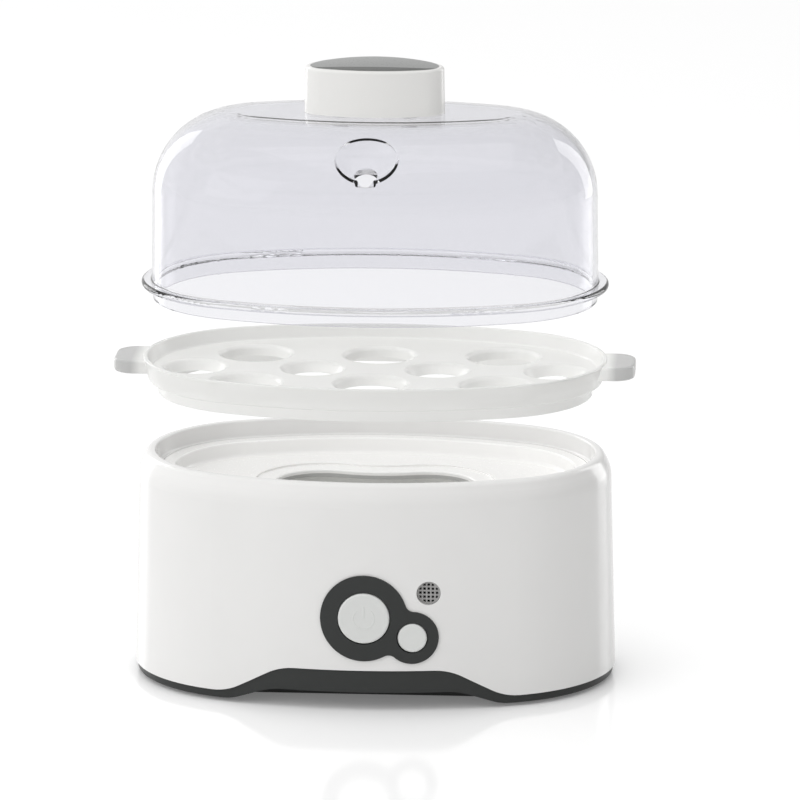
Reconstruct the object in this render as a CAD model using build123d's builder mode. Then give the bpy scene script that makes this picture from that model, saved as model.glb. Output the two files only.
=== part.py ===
"""Electric egg cooker: base with heater and controls, egg tray and clear lid, in millimetres, +Z up."""
import os
from math import atan2, cos, degrees, radians, sin, sqrt

from build123d import *

# Plan oval shared by the base, the tray and the lid
half_width = 106.5
half_depth = 69.5
end_radius_share = 0.878

# How far the tray and the lid are raised at rest, and the gap left when they are down
tray_lift = 31.7
lid_lift = 31.6
seat_gap = 0.3

# Housing shell: drops below the crest, and leans in from the foot of the wall
wall = 2.5
housing_bottom = 5.0
crest_height = 100.0
shoulder_drop = 7.0
ledge_drop = 7.5
wall_lean = 2.2
crest_lean = 6.0
mouth_lean = 9.5
ledge_lean = 10.0
seam_lean = 12.0
shell_mouth_lean = 15.0
shoulder_round = 14.0
crest_round = 3.0
lip_round = 0.8

# Basin: a dish that hangs in the housing's mouth and is closed by the deck
basin_flange = 2.0
basin_fit = 0.3
basin_mouth_lean = 18.0
deck_drop = 14.0
deck_thickness = 2.5
deck_lean = 19.5
deck_under_lean = 17.0
deck_ring_lean = 34.0
deck_round = 2.0

# Notch at the foot of the front wall
notch_top = 18.0
notch_top_half = 37.0
notch_foot_half = 61.0
notch_round = 25.0
notch_reach = 22.0

# Heater recess in the deck: two lobes joined by a waist
lobe_offset = 23.0
lobe_radius = 21.0
waist_radius = 60.0
recess_edge_round = 0.8
dip_width = 9.0
dip_depth = 0.8

# Heating plate, its seal and its clips
seal_thickness = 1.5
seal_width = 5.0
plate_thickness = 1.5
plate_flange = 6.0
plate_inset = 1.0
plate_floor_drop = 9.0
plate_floor_thickness = 2.0
plate_floor_round = 3.0
clip_thickness = 1.3
clip_width = 12.0
clip_grip = 3.0
clip_gap = 1.0
clip_boss_x = 60.0
clip_boss_radius = 4.0
clip_boss_length = 11.5
clip_foot_length = 6.0
clip_pilot_depth = 9.0

# Tubular heating element
tube_radius = 3.3
tube_flat = 0.6
tube_leg_y = 13.0
tube_bend_x = 22.0
tube_leg_end = 24.0
tube_pin_radius = 1.5
tube_pin_length = 9.0

# Thermostat and thermal fuse under the plate
thermostat_x = 4.0
thermostat_radius = 7.8
thermostat_height = 9.0
thermostat_round = 0.8
tab_width = 6.3
tab_thickness = 0.8
tab_length = 6.0
tab_offset = 3.2
fuse_x = 22.0
fuse_radius = 2.2
fuse_flat = 0.4
fuse_length = 12.0
fuse_lead_radius = 0.6
fuse_lead_length = 7.0

# Self-tapping screws, by family
screw_fit = 0.05
hole_fit = 0.4
long_screw_radius = 1.5
long_screw_head = 3.0
long_screw_head_height = 1.2
long_screw_length = 12.0
short_screw_radius = 1.3
short_screw_head = 2.6
short_screw_head_height = 1.6
short_screw_length = 7.0
cross_half = 0.35
cross_reach = 1.5
cross_depth = 0.7

# Bottom cover, feet and vents
cover_bottom = 1.2
cover_floor = 2.5
cover_edge_lean = 1.0
cover_edge_round = 1.0
cover_fit = 0.3
cover_upstand_top = 20.5
cover_upstand = 2.0
arch_top = 8.0
arch_top_half = 41.0
arch_foot_half = 60.0
arch_round = 30.0
arch_depth = 22.5
arch_skin = 2.5
column_end_inset = 24.5
column_y = 22.0
column_radius = 4.2
column_pilot_depth = 13.0
foot_end_inset = 36.5
foot_side_inset = 33.5
foot_radius = 6.0
foot_pocket = 1.0
foot_round = 0.6
vent_width = 3.0
vent_length = 22.0
vent_pitch = 7.0
vent_count = 5

# Control bezel: a large ring and a small ring run together
dial_x = 0.0
dial_z = 41.5
ring_radius = 19.0
small_step_x = 21.0
small_step_z = -8.6
small_ring_radius = 11.5
ring_blend = 4.0
bezel_proud = 0.8
bezel_lip = 2.5
bezel_depth = 9.5
bezel_fit = 0.2

# Push buttons
power_radius = 11.2
power_proud = 0.3
power_flange = 12.8
small_radius = 6.4
small_set_back = 0.8
small_flange = 8.0
button_fit = 0.35
button_flange_gap = 0.4
button_flange_thickness = 1.6
button_round = 0.9
power_stem_radius = 2.5
small_stem_radius = 1.8
power_stem_stand = 4.4
small_stem_stand = 3.8

# Circuit board with its switches and buzzer
board_set_back = 25.5
board_thickness = 1.6
board_left = -26.0
board_right = 48.0
board_low = 20.5
board_high = 64.5
board_round = 2.0
board_boss_left = -20.5
board_boss_right = 42.5
board_boss_low = 26.0
board_boss_high = 59.0
board_boss_radius = 3.4
board_pilot_depth = 9.0
power_switch_side = 13.0
power_switch_height = 7.0
small_switch_side = 8.0
small_switch_height = 5.4
switch_bore_fit = 0.4
switch_floor = 1.0
switch_round = 0.6
buzzer_radius = 6.0
buzzer_height = 8.5
buzzer_port = 1.0
buzzer_port_depth = 2.0

# Buzzer outlet in the front wall
grille_x = 28.0
grille_z = 52.5
grille_radius = 5.1
grille_fit = 0.1
grille_set_back = 4.6
grille_thickness = 1.5
grille_rim = 0.7
grille_opening = 1.1
grille_pitch = 1.8
grille_rows = 5

# Cord gland in the rear wall and the terminal block behind it
gland_z = 33.0
gland_flange = 7.5
gland_flange_thickness = 2.0
gland_set_back = 1.2
gland_neck = 5.2
gland_nut = 6.8
gland_nut_thickness = 2.5
gland_bore = 3.5
gland_round = 0.8
block_set_back = 31.5
block_length = 26.0
block_depth = 12.0
block_height = 12.0
block_pitch = 10.0
block_way_radius = 1.9
block_way_depth = 7.0
block_round = 0.6

# Wires, named by where they run
wire_radius = 1.1
wire_bend = 5.0
wire_gap = 0.3
wire_clear = 2.5
wire_drop = 9.7
wire_pair = 1.4
wire_turn = 7.0
board_wire_x = 30.0
board_wire_step = 10.0
board_wire_run = 9.0
board_wire_z = 38.0
board_wire_rise = 6.0

# Egg tray
tray_inset = 4.2
tray_wall = 2.0
tray_shoulder_inset = 6.7
tray_wall_height = 10.4
tray_lip_inset = 10.5
tray_lip_lean = 0.4
tray_lip_height = 5.4
tray_lip_wall = 2.0
tray_deck_drop = 6.0
tray_deck_thickness = 2.0
tray_ring_inset = 32.5
tray_deck_inset = 8.1
tray_rim_round = 0.7
tray_shoulder_round = 1.2
tray_corner_round = 1.2
tab_reach = 8.0
tab_half = 15.0
tab_corner = 9.0
tab_thick = 6.0
tab_drop = 0.6
tab_edge_round = 1.2
tab_root_inset = 6.2

# Egg seats and steam openings
seat_spread_share = 0.5164
seat_row_share = 0.7914
seat_radius = 14.3
seat_mouth = 15.8
seat_depth = 4.5
seat_wall = 1.5
seat_edge_round = 2.4
steam_radius = 10.5
steam_mouth = 14.0
steam_end_share = 0.7465

# Lid
lid_inset = 8.5
lid_wall = 2.2
lid_lean = 0.6
lid_flange_inset = 4.0
lid_flange_thickness = 2.8
lid_flange_round = 1.3
lid_skirt_height = 5.5
lid_skirt_inset = 8.9
lid_height = 77.4
lid_arc_radius = 36.0
lid_top_ring = 8.0
lid_fillet = 0.6
scoop_radius = 20.0
scoop_circle = 13.5
scoop_angle = 45.0
vent_hole = 5.0
vent_hole_inset = 16.8

# Lid handle, cap and screws
handle_half_width = 30.7
handle_half_depth = 15.0
handle_end_radius = 11.5
handle_height = 20.2
handle_lean = 0.4
handle_round = 1.4
cap_inset = 2.2
cap_fit = 0.1
cap_sink = 1.6
cap_crown = 2.2
handle_screw_x = 15.0
handle_screw_radius = 1.6
handle_screw_head = 3.6
handle_screw_head_height = 2.0
handle_screw_length = 14.0

# Overrun of every cut, and plain angles and shares
overrun = 1.0
half_turn = 180.0
quarter_turn = 90.0
half_share = 0.5

# Derived sizes
end_radius = half_depth * end_radius_share
shoulder_height = crest_height - shoulder_drop
ledge_height = crest_height - ledge_drop
ledge_seat = ledge_height - basin_flange
shell_ledge_bottom = ledge_seat - wall
deck_height = crest_height - deck_drop
deck_bottom = deck_height - deck_thickness
dip_floor = deck_height - dip_depth
seal_bottom = deck_bottom - seal_thickness
plate_bottom = seal_bottom - plate_thickness
plate_floor_height = deck_height - plate_floor_drop
plate_underside = plate_floor_height - plate_floor_thickness
clip_boss_bottom = deck_bottom - clip_boss_length
clip_places = [(clip_boss_x, 0), (-clip_boss_x, 0)]
cover_floor_top = cover_bottom + cover_floor
front_outside = half_depth + overrun
column_x = half_width - column_end_inset
foot_x = half_width - foot_end_inset
foot_y = half_depth - foot_side_inset
arch_back = half_depth - arch_depth
tray_rim_half = half_width - tray_inset
tray_shoulder_half = half_width - tray_shoulder_inset
tray_lip_half = half_width - tray_lip_inset
tray_deck_ring = half_width - tray_ring_inset
tray_deck_half = half_width - tray_deck_inset
tab_tip = half_width + tab_reach
tray_shoulder = crest_height + seat_gap + tray_lift
tray_rim = tray_shoulder + tray_wall_height
tray_deck = tray_rim - tray_deck_drop
tray_deck_under = tray_deck - tray_deck_thickness
tray_lip_bottom = tray_shoulder - tray_lip_height
lid_half = half_width - lid_inset
lid_flange_half = half_width - lid_flange_inset
lid_skirt_half = half_width - lid_skirt_inset
lid_seat = tray_rim + seat_gap + lid_lift
lid_top = lid_seat + lid_height
small_x = dial_x + small_step_x
small_z = dial_z + small_step_z
bezel_back = half_depth - bezel_depth
power_front = half_depth + power_proud
small_front = half_depth - small_set_back
grille_front = half_depth - grille_set_back
board_front = half_depth - board_set_back
board_back = board_front - board_thickness
power_stem_end = board_front + power_stem_stand
small_stem_end = board_front + small_stem_stand
power_switch_front = board_front + power_switch_height
small_switch_front = board_front + small_switch_height
buzzer_front = board_front + buzzer_height
board_boss_places = [
    (board_boss_left, board_boss_low),
    (board_boss_right, board_boss_low),
    (board_boss_left, board_boss_high),
    (board_boss_right, board_boss_high),
]
gland_seat = half_depth - gland_set_back
block_y = half_depth - block_set_back
handle_screw_places = [(handle_screw_x, 0), (-handle_screw_x, 0)]
seat_pitch_x = half_width * seat_spread_share
seat_pitch_y = half_depth * seat_row_share
steam_inner_x = seat_pitch_x * half_share
steam_outer_x = half_width * steam_end_share
steam_places = [
    (steam_inner_x, 0, 0),
    (-steam_inner_x, 0, 0),
    (steam_outer_x, 0, 0),
    (-steam_outer_x, 0, 0),
]


def oval_arcs(half_w, half_d, end_r, inset):
    """Draws a closed oval of tangent arcs that starts on +X, pulled in by inset."""
    end_x = half_w - end_r
    flat_r = (end_x ** 2 + half_d ** 2 - end_r ** 2) / (2 * (half_d - end_r))
    flat_y = flat_r - half_d
    join = degrees(atan2(flat_y, end_x))
    CenterArc((end_x, 0), end_r - inset, 0, join)
    CenterArc((0, -flat_y), flat_r - inset, join, half_turn - 2 * join)
    CenterArc((-end_x, 0), end_r - inset, half_turn - join, 2 * join)
    CenterArc((0, flat_y), flat_r - inset, half_turn + join, half_turn - 2 * join)
    CenterArc((end_x, 0), end_r - inset, -join, join)


def body_oval(inset):
    """Draws the shared plan oval, pulled in by inset."""
    oval_arcs(half_width, half_depth, end_radius, inset)


def recess_arcs(inset):
    """Draws the two-lobed outline of the heater recess, pulled in by inset."""
    reach = lobe_radius + waist_radius
    waist_y = sqrt(reach ** 2 - lobe_offset ** 2)
    lean = degrees(atan2(lobe_offset, waist_y))
    span = quarter_turn + lean
    CenterArc((lobe_offset, 0), lobe_radius - inset, -span, 2 * span)
    CenterArc((0, waist_y), waist_radius + inset, lean - quarter_turn, -2 * lean)
    CenterArc((-lobe_offset, 0), lobe_radius - inset, quarter_turn - lean, 2 * span)
    CenterArc((0, -waist_y), waist_radius + inset, quarter_turn + lean, -2 * lean)


def lean_at(height):
    """Gives how far the housing wall leans in at a height."""
    return wall_lean * (height - housing_bottom) / (shoulder_height - housing_bottom)


gland_back = half_depth - lean_at(gland_z + gland_nut) - wall - seat_gap
gland_inside = gland_back - gland_nut_thickness


def notch_outline(bottom, gap):
    """Draws the notch at the foot of the front wall down to bottom, with its edge lowered by gap."""
    foot = housing_bottom - gap
    top = notch_top - gap
    FilletPolyline(
        (-half_width, bottom),
        (-half_width, foot),
        (-notch_foot_half, foot),
        (-notch_top_half, top),
        (notch_top_half, top),
        (notch_foot_half, foot),
        (half_width, foot),
        (half_width, bottom),
        radius=(0, 0, notch_round, notch_round, notch_round, notch_round, 0, 0),
        close=True,
    )


def bezel_rings(inset):
    """Draws the two run-together rings of the bezel, pulled in by inset."""
    with Locations((dial_x, dial_z)):
        Circle(ring_radius - inset)
    with Locations((small_x, small_z)):
        Circle(small_ring_radius - inset)


# Solids of the housing wall's outside, used to shape what follows the wall
with BuildPart() as wall_outside:
    with BuildSketch(Plane.XY.offset(housing_bottom)):
        with BuildLine():
            body_oval(0)
        make_face()
    with BuildSketch(Plane.XY.offset(shoulder_height)):
        with BuildLine():
            body_oval(wall_lean)
        make_face()
    loft()

with BuildPart() as wall_proud:
    with BuildSketch(Plane.XY.offset(housing_bottom)):
        with BuildLine():
            body_oval(-bezel_proud)
        make_face()
    with BuildSketch(Plane.XY.offset(shoulder_height)):
        with BuildLine():
            body_oval(wall_lean - bezel_proud)
        make_face()
    loft()

with BuildPart() as wall_middle:
    with BuildSketch(Plane.XY.offset(housing_bottom)):
        with BuildLine():
            body_oval(wall * half_share)
        make_face()
    with BuildSketch(Plane.XY.offset(shoulder_height)):
        with BuildLine():
            body_oval(wall_lean + wall * half_share)
        make_face()
    loft()

# Bosses that carry the circuit board, trimmed to end inside the front wall
with BuildPart() as board_bosses:
    with BuildSketch(Plane.XZ.offset(board_front)):
        with Locations(board_boss_places):
            Circle(board_boss_radius)
    extrude(amount=front_outside - board_front)
    add(wall_middle.part, mode=Mode.INTERSECT)

# Housing: a shell whose profile is swept round the oval, with a stepped ledge for the basin
with BuildPart() as housing:
    with BuildLine():
        body_oval(0)
    with BuildSketch(Plane.XZ):
        with BuildLine():
            FilletPolyline(
                (half_width, housing_bottom),
                (half_width - wall_lean, shoulder_height),
                (half_width - crest_lean, crest_height),
                (half_width - mouth_lean, crest_height),
                (half_width - ledge_lean, ledge_height),
                (half_width - seam_lean, ledge_height),
                (half_width - seam_lean, ledge_seat),
                (half_width - shell_mouth_lean, ledge_seat),
                (half_width - shell_mouth_lean, shell_ledge_bottom),
                (half_width - wall_lean - wall, shell_ledge_bottom),
                (half_width - wall, housing_bottom),
                radius=(0, shoulder_round, crest_round, lip_round, lip_round, 0, 0, 0, 0, 0, 0),
                close=True,
            )
        make_face()
    sweep()
    add(board_bosses.part)
    with BuildSketch(Plane.XZ.offset(board_front)):
        with Locations(board_boss_places):
            Circle(short_screw_radius + screw_fit)
    extrude(amount=board_pilot_depth, mode=Mode.SUBTRACT)
    with BuildSketch(Plane.XZ.offset(front_outside)):
        with BuildLine():
            notch_outline(housing_bottom - overrun, 0)
        make_face()
    extrude(amount=-notch_reach, mode=Mode.SUBTRACT)
    with BuildSketch(Plane.XZ.offset(front_outside)) as bezel_hole:
        bezel_rings(bezel_lip - bezel_fit)
        fillet(bezel_hole.vertices(), ring_blend)
    extrude(amount=bezel_back - front_outside, mode=Mode.SUBTRACT)
    with BuildSketch(Plane.XZ.offset(front_outside)):
        with Locations((grille_x, grille_z)):
            Circle(grille_radius + grille_fit)
    extrude(amount=buzzer_front - front_outside, mode=Mode.SUBTRACT)
    with BuildSketch(Plane.XZ.offset(-gland_seat)):
        with Locations((0, gland_z)):
            Circle(gland_flange + hole_fit)
    extrude(amount=gland_seat - front_outside, mode=Mode.SUBTRACT)
    with BuildSketch(Plane.XZ.offset(-gland_back)):
        with Locations((0, gland_z)):
            Circle(gland_neck + screw_fit)
    extrude(amount=gland_back - front_outside, mode=Mode.SUBTRACT)
housing.part.label = "housing"

# Basin: its flange lies in the housing's ledge, and its columns pull the cover up against the shell
basin_back = half_width - shell_mouth_lean - basin_fit
with BuildPart() as basin:
    with BuildLine():
        body_oval(0)
    with BuildSketch(Plane.XZ):
        with BuildLine():
            FilletPolyline(
                (half_width - seam_lean - basin_fit, ledge_seat),
                (half_width - seam_lean - basin_fit, ledge_height),
                (half_width - basin_mouth_lean, ledge_height),
                (half_width - deck_lean, deck_height),
                (half_width - deck_ring_lean, deck_height),
                (half_width - deck_ring_lean, deck_bottom),
                (half_width - deck_under_lean, deck_bottom),
                (basin_back, ledge_seat),
                radius=(0, 0, lip_round, deck_round, 0, 0, 0, 0),
                close=True,
            )
        make_face()
    sweep()
    with BuildSketch(Plane.XY.offset(deck_bottom)):
        with BuildLine():
            body_oval(deck_ring_lean)
        make_face()
    extrude(amount=deck_thickness)
    with BuildSketch(Plane.XY.offset(dip_floor)):
        with BuildLine():
            recess_arcs(-dip_width)
        make_face()
    extrude(amount=dip_depth + overrun, mode=Mode.SUBTRACT)
    with BuildSketch(Plane.XY.offset(deck_bottom - overrun)):
        with BuildLine():
            recess_arcs(0)
        make_face()
    extrude(amount=deck_thickness + 2 * overrun, mode=Mode.SUBTRACT)
    recess_rim = basin.edges(Select.LAST).filter_by_position(Axis.Z, dip_floor, dip_floor)
    fillet(recess_rim, recess_edge_round)
    with BuildSketch(Plane.XY.offset(cover_floor_top)):
        with GridLocations(2 * column_x, 2 * column_y, 2, 2):
            Circle(column_radius)
    extrude(amount=deck_bottom - cover_floor_top)
    with BuildSketch(Plane.XY.offset(clip_boss_bottom)):
        with Locations(clip_places):
            Circle(clip_boss_radius)
    extrude(amount=deck_bottom - clip_boss_bottom)
    with BuildSketch(Plane.XY.offset(cover_floor_top)):
        with GridLocations(2 * column_x, 2 * column_y, 2, 2):
            Circle(long_screw_radius + screw_fit)
    extrude(amount=column_pilot_depth, mode=Mode.SUBTRACT)
    with BuildSketch(Plane.XY.offset(clip_boss_bottom)):
        with Locations(clip_places):
            Circle(short_screw_radius + screw_fit)
    extrude(amount=clip_pilot_depth, mode=Mode.SUBTRACT)
basin.part.label = "basin"

# Bottom cover: edge under the housing wall, upstand inside it, floor with vents
with BuildPart() as arch_block:
    with BuildSketch(Plane.XZ.offset(front_outside)):
        with BuildLine():
            Polyline(
                (-arch_foot_half - arch_skin, cover_bottom),
                (-arch_top_half - arch_skin, arch_top + arch_skin),
                (arch_top_half + arch_skin, arch_top + arch_skin),
                (arch_foot_half + arch_skin, cover_bottom),
                close=True,
            )
        make_face()
    extrude(amount=arch_back - arch_skin - front_outside)
    with BuildSketch(Plane.XY):
        with BuildLine():
            body_oval(wall + cover_fit)
        make_face()
    extrude(amount=cover_upstand_top, mode=Mode.INTERSECT)

# Panel of the cover that fills the notch, flush with the cover's edge
with BuildPart() as notch_panel:
    with BuildSketch(Plane.XZ.offset(front_outside)):
        with BuildLine():
            notch_outline(cover_bottom + cover_edge_round, cover_fit)
        make_face()
    extrude(amount=-notch_reach)
    with BuildSketch():
        with BuildLine():
            body_oval(cover_edge_lean)
        make_face()
        with BuildLine():
            body_oval(wall + cover_fit + cover_upstand)
        make_face(mode=Mode.SUBTRACT)
    extrude(amount=cover_upstand_top, mode=Mode.INTERSECT)

upstand_half = half_width - wall - cover_fit
upstand_top_half = upstand_half - lean_at(cover_upstand_top)
with BuildPart() as bottom_cover:
    with BuildLine():
        body_oval(0)
    with BuildSketch(Plane.XZ):
        with BuildLine():
            FilletPolyline(
                (half_width - cover_edge_lean, cover_bottom),
                (half_width - cover_edge_lean, housing_bottom),
                (upstand_half, housing_bottom),
                (upstand_top_half, cover_upstand_top),
                (upstand_top_half - cover_upstand, cover_upstand_top),
                (upstand_half - cover_upstand, cover_floor_top),
                (half_width - deck_ring_lean, cover_floor_top),
                (half_width - deck_ring_lean, cover_bottom),
                radius=(cover_edge_round, 0, 0, 0, 0, 0, 0, 0),
                close=True,
            )
        make_face()
    sweep()
    with BuildSketch(Plane.XY.offset(cover_bottom)):
        with BuildLine():
            body_oval(deck_ring_lean)
        make_face()
        with GridLocations(0, vent_pitch, 1, vent_count):
            SlotOverall(vent_length, vent_width, mode=Mode.SUBTRACT)
    extrude(amount=cover_floor)
    add(arch_block.part)
    add(notch_panel.part)
    with BuildSketch(Plane.XZ.offset(front_outside)):
        with BuildLine():
            FilletPolyline(
                (-half_width, cover_bottom - overrun),
                (-half_width, cover_bottom),
                (-arch_foot_half, cover_bottom),
                (-arch_top_half, arch_top),
                (arch_top_half, arch_top),
                (arch_foot_half, cover_bottom),
                (half_width, cover_bottom),
                (half_width, cover_bottom - overrun),
                radius=(0, 0, arch_round, arch_round, arch_round, arch_round, 0, 0),
                close=True,
            )
        make_face()
    extrude(amount=arch_back - front_outside, mode=Mode.SUBTRACT)
    with BuildSketch(Plane.XY.offset(cover_bottom - overrun)):
        with GridLocations(2 * column_x, 2 * column_y, 2, 2):
            Circle(long_screw_radius + hole_fit)
    extrude(amount=cover_floor + 2 * overrun, mode=Mode.SUBTRACT)
    with BuildSketch(Plane.XY.offset(cover_bottom + long_screw_head_height)):
        with GridLocations(2 * column_x, 2 * column_y, 2, 2):
            Circle(long_screw_head + hole_fit)
    extrude(amount=-(long_screw_head_height + overrun), mode=Mode.SUBTRACT)
    with BuildSketch(Plane.XY.offset(cover_bottom + foot_pocket)):
        with GridLocations(2 * foot_x, 2 * foot_y, 2, 2):
            Circle(foot_radius + screw_fit)
    extrude(amount=-(foot_pocket + overrun), mode=Mode.SUBTRACT)
bottom_cover.part.label = "bottom_cover"

# Rubber feet
with BuildPart() as rubber_feet:
    with BuildSketch():
        with GridLocations(2 * foot_x, 2 * foot_y, 2, 2):
            Circle(foot_radius)
    extrude(amount=cover_bottom + foot_pocket)
    fillet(rubber_feet.edges().group_by(Axis.Z)[0], foot_round)
rubber_feet.part.label = "rubber_feet"

# Screws that hold the cover to the housing columns
cover_screw_seat = cover_bottom + long_screw_head_height
with BuildPart() as cover_screws:
    with BuildSketch(Plane.XY.offset(cover_screw_seat)):
        with GridLocations(2 * column_x, 2 * column_y, 2, 2):
            Circle(long_screw_head)
    extrude(amount=-long_screw_head_height)
    with BuildSketch(Plane.XY.offset(cover_screw_seat)):
        with GridLocations(2 * column_x, 2 * column_y, 2, 2):
            Circle(long_screw_radius)
    extrude(amount=long_screw_length)
    with BuildSketch(Plane.XY.offset(cover_bottom)):
        with GridLocations(2 * column_x, 2 * column_y, 2, 2):
            Rectangle(2 * cross_reach, 2 * cross_half)
            Rectangle(2 * cross_half, 2 * cross_reach)
    extrude(amount=cross_depth, mode=Mode.SUBTRACT)
cover_screws.part.label = "cover_screws"

# Heating plate: a dished two-lobed pan clamped under the deck, with its seal
with BuildPart() as heating_plate:
    with BuildSketch(Plane.XY.offset(plate_bottom)):
        with BuildLine():
            recess_arcs(-plate_flange)
        make_face()
    extrude(amount=plate_thickness)
    with BuildSketch(Plane.XY.offset(plate_underside)):
        with BuildLine():
            recess_arcs(plate_inset - plate_thickness)
        make_face()
    extrude(amount=plate_bottom - plate_underside)
    with BuildSketch(Plane.XY.offset(plate_floor_height)):
        with BuildLine():
            recess_arcs(plate_inset)
        make_face()
    extrude(amount=seal_bottom - plate_floor_height + overrun, mode=Mode.SUBTRACT)
    pan_corner = heating_plate.edges().filter_by_position(Axis.Z, plate_floor_height, plate_floor_height)
    fillet(pan_corner, plate_floor_round)
heating_plate.part.label = "heating_plate"

with BuildPart() as plate_seal:
    with BuildSketch(Plane.XY.offset(seal_bottom)):
        with BuildLine():
            recess_arcs(-seal_width)
        make_face()
        with BuildLine():
            recess_arcs(0)
        make_face(mode=Mode.SUBTRACT)
    extrude(amount=seal_thickness)
plate_seal.part.label = "plate_seal"

# Clips that pull the plate flange up against the deck, with their screws
flange_end = lobe_offset + lobe_radius + plate_flange
clip_riser = flange_end + clip_gap
clip_end = clip_boss_x + clip_foot_length
with BuildPart() as plate_clips:
    with BuildSketch(Plane.XZ.offset(-clip_width * half_share)):
        with BuildLine():
            Polyline(
                (flange_end - clip_grip, plate_bottom),
                (clip_riser + clip_thickness, plate_bottom),
                (clip_riser + clip_thickness, clip_boss_bottom),
                (clip_end, clip_boss_bottom),
                (clip_end, clip_boss_bottom - clip_thickness),
                (clip_riser, clip_boss_bottom - clip_thickness),
                (clip_riser, plate_bottom - clip_thickness),
                (flange_end - clip_grip, plate_bottom - clip_thickness),
                close=True,
            )
        make_face()
    extrude(amount=clip_width)
    mirror(about=Plane.YZ)
    with BuildSketch(Plane.XY.offset(clip_boss_bottom - clip_thickness - overrun)):
        with Locations(clip_places):
            Circle(short_screw_radius + hole_fit)
    extrude(amount=clip_thickness + 2 * overrun, mode=Mode.SUBTRACT)
plate_clips.part.label = "plate_clips"

clip_screw_seat = clip_boss_bottom - clip_thickness
with BuildPart() as clip_screws:
    with BuildSketch(Plane.XY.offset(clip_screw_seat)):
        with Locations(clip_places):
            Circle(short_screw_head)
    extrude(amount=-short_screw_head_height)
    with BuildSketch(Plane.XY.offset(clip_screw_seat)):
        with Locations(clip_places):
            Circle(short_screw_radius)
    extrude(amount=short_screw_length)
    with BuildSketch(Plane.XY.offset(clip_screw_seat - short_screw_head_height)):
        with Locations(clip_places):
            Rectangle(2 * cross_reach, 2 * cross_half)
            Rectangle(2 * cross_half, 2 * cross_reach)
    extrude(amount=cross_depth, mode=Mode.SUBTRACT)
clip_screws.part.label = "clip_screws"

# Heating element: a tube bent back on itself, flattened where it meets the plate
tube_z = plate_underside - tube_radius + tube_flat
with BuildPart() as heating_element:
    with BuildLine(Plane.XY.offset(tube_z)):
        Line((tube_leg_end, tube_leg_y), (-tube_bend_x + tube_leg_y, tube_leg_y))
        CenterArc((-tube_bend_x + tube_leg_y, 0), tube_leg_y, quarter_turn, half_turn)
        Line((-tube_bend_x + tube_leg_y, -tube_leg_y), (tube_leg_end, -tube_leg_y))
    with BuildSketch(Plane.YZ.offset(tube_leg_end)):
        with Locations((tube_leg_y, tube_z)):
            Circle(tube_radius)
    sweep()
    with BuildSketch(Plane.YZ.offset(tube_leg_end)):
        with Locations((tube_leg_y, tube_z), (-tube_leg_y, tube_z)):
            Circle(tube_pin_radius)
    extrude(amount=tube_pin_length)
    with BuildSketch(Plane.XY.offset(plate_underside)):
        Rectangle(half_width, half_depth)
    extrude(amount=tube_radius, mode=Mode.SUBTRACT)
heating_element.part.label = "heating_element"

# Thermostat and thermal fuse against the underside of the plate
thermostat_bottom = plate_underside - thermostat_height
with BuildPart() as thermostat:
    with BuildSketch(Plane.XY.offset(thermostat_bottom)):
        with Locations((thermostat_x, 0)):
            Circle(thermostat_radius)
    extrude(amount=thermostat_height)
    fillet(thermostat.edges().group_by(Axis.Z)[0], thermostat_round)
    with BuildSketch(Plane.XY.offset(thermostat_bottom)):
        with Locations((thermostat_x - tab_offset, 0), (thermostat_x + tab_offset, 0)):
            Rectangle(tab_thickness, tab_width)
    extrude(amount=-tab_length)
thermostat.part.label = "thermostat"

fuse_z = plate_underside - fuse_radius + fuse_flat
fuse_left = fuse_x - fuse_length * half_share
with BuildPart() as thermal_fuse:
    with BuildSketch(Plane.YZ.offset(fuse_left)):
        with Locations((0, fuse_z)):
            Circle(fuse_radius)
    extrude(amount=fuse_length)
    with BuildSketch(Plane.YZ.offset(fuse_left + fuse_length)):
        with Locations((0, fuse_z)):
            Circle(fuse_lead_radius)
    extrude(amount=fuse_lead_length)
    with BuildSketch(Plane.XY.offset(plate_underside)):
        Rectangle(half_width, half_depth)
    extrude(amount=fuse_radius, mode=Mode.SUBTRACT)
thermal_fuse.part.label = "thermal_fuse"

# Control bezel: a lip that lies on the wall and a collar through it
with BuildPart() as bezel_collar:
    with BuildSketch(Plane.XZ.offset(front_outside + overrun)) as collar_outline:
        bezel_rings(bezel_lip)
        fillet(collar_outline.vertices(), ring_blend)
    extrude(amount=bezel_back - front_outside - overrun)
    add(wall_proud.part, mode=Mode.INTERSECT)

with BuildPart() as control_bezel:
    with BuildSketch(Plane.XZ.offset(front_outside + overrun)) as lip_outline:
        bezel_rings(0)
        fillet(lip_outline.vertices(), ring_blend)
    extrude(amount=bezel_back - front_outside - overrun)
    add(wall_proud.part, mode=Mode.INTERSECT)
    add(wall_outside.part, mode=Mode.SUBTRACT)
    add(bezel_collar.part)
    with BuildSketch(Plane.XZ.offset(front_outside + overrun)):
        with Locations((dial_x, dial_z)):
            Circle(power_radius + button_fit)
        with Locations((small_x, small_z)):
            Circle(small_radius + button_fit)
    extrude(amount=bezel_back - front_outside - 2 * overrun, mode=Mode.SUBTRACT)
control_bezel.part.label = "control_bezel"

# Push buttons, each with a flange behind the bezel and a stem to its switch
flange_front = bezel_back - button_flange_gap
flange_back = flange_front - button_flange_thickness
with BuildPart() as power_button:
    with BuildSketch(Plane.XZ.offset(power_front)):
        with Locations((dial_x, dial_z)):
            Circle(power_radius)
    extrude(amount=flange_front - power_front)
    fillet(power_button.edges().group_by(Axis.Y)[0], button_round)
    with BuildSketch(Plane.XZ.offset(flange_front)):
        with Locations((dial_x, dial_z)):
            Circle(power_flange)
    extrude(amount=-button_flange_thickness)
    with BuildSketch(Plane.XZ.offset(flange_back)):
        with Locations((dial_x, dial_z)):
            Circle(power_stem_radius)
    extrude(amount=power_stem_end - flange_back)
power_button.part.label = "power_button"

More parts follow.
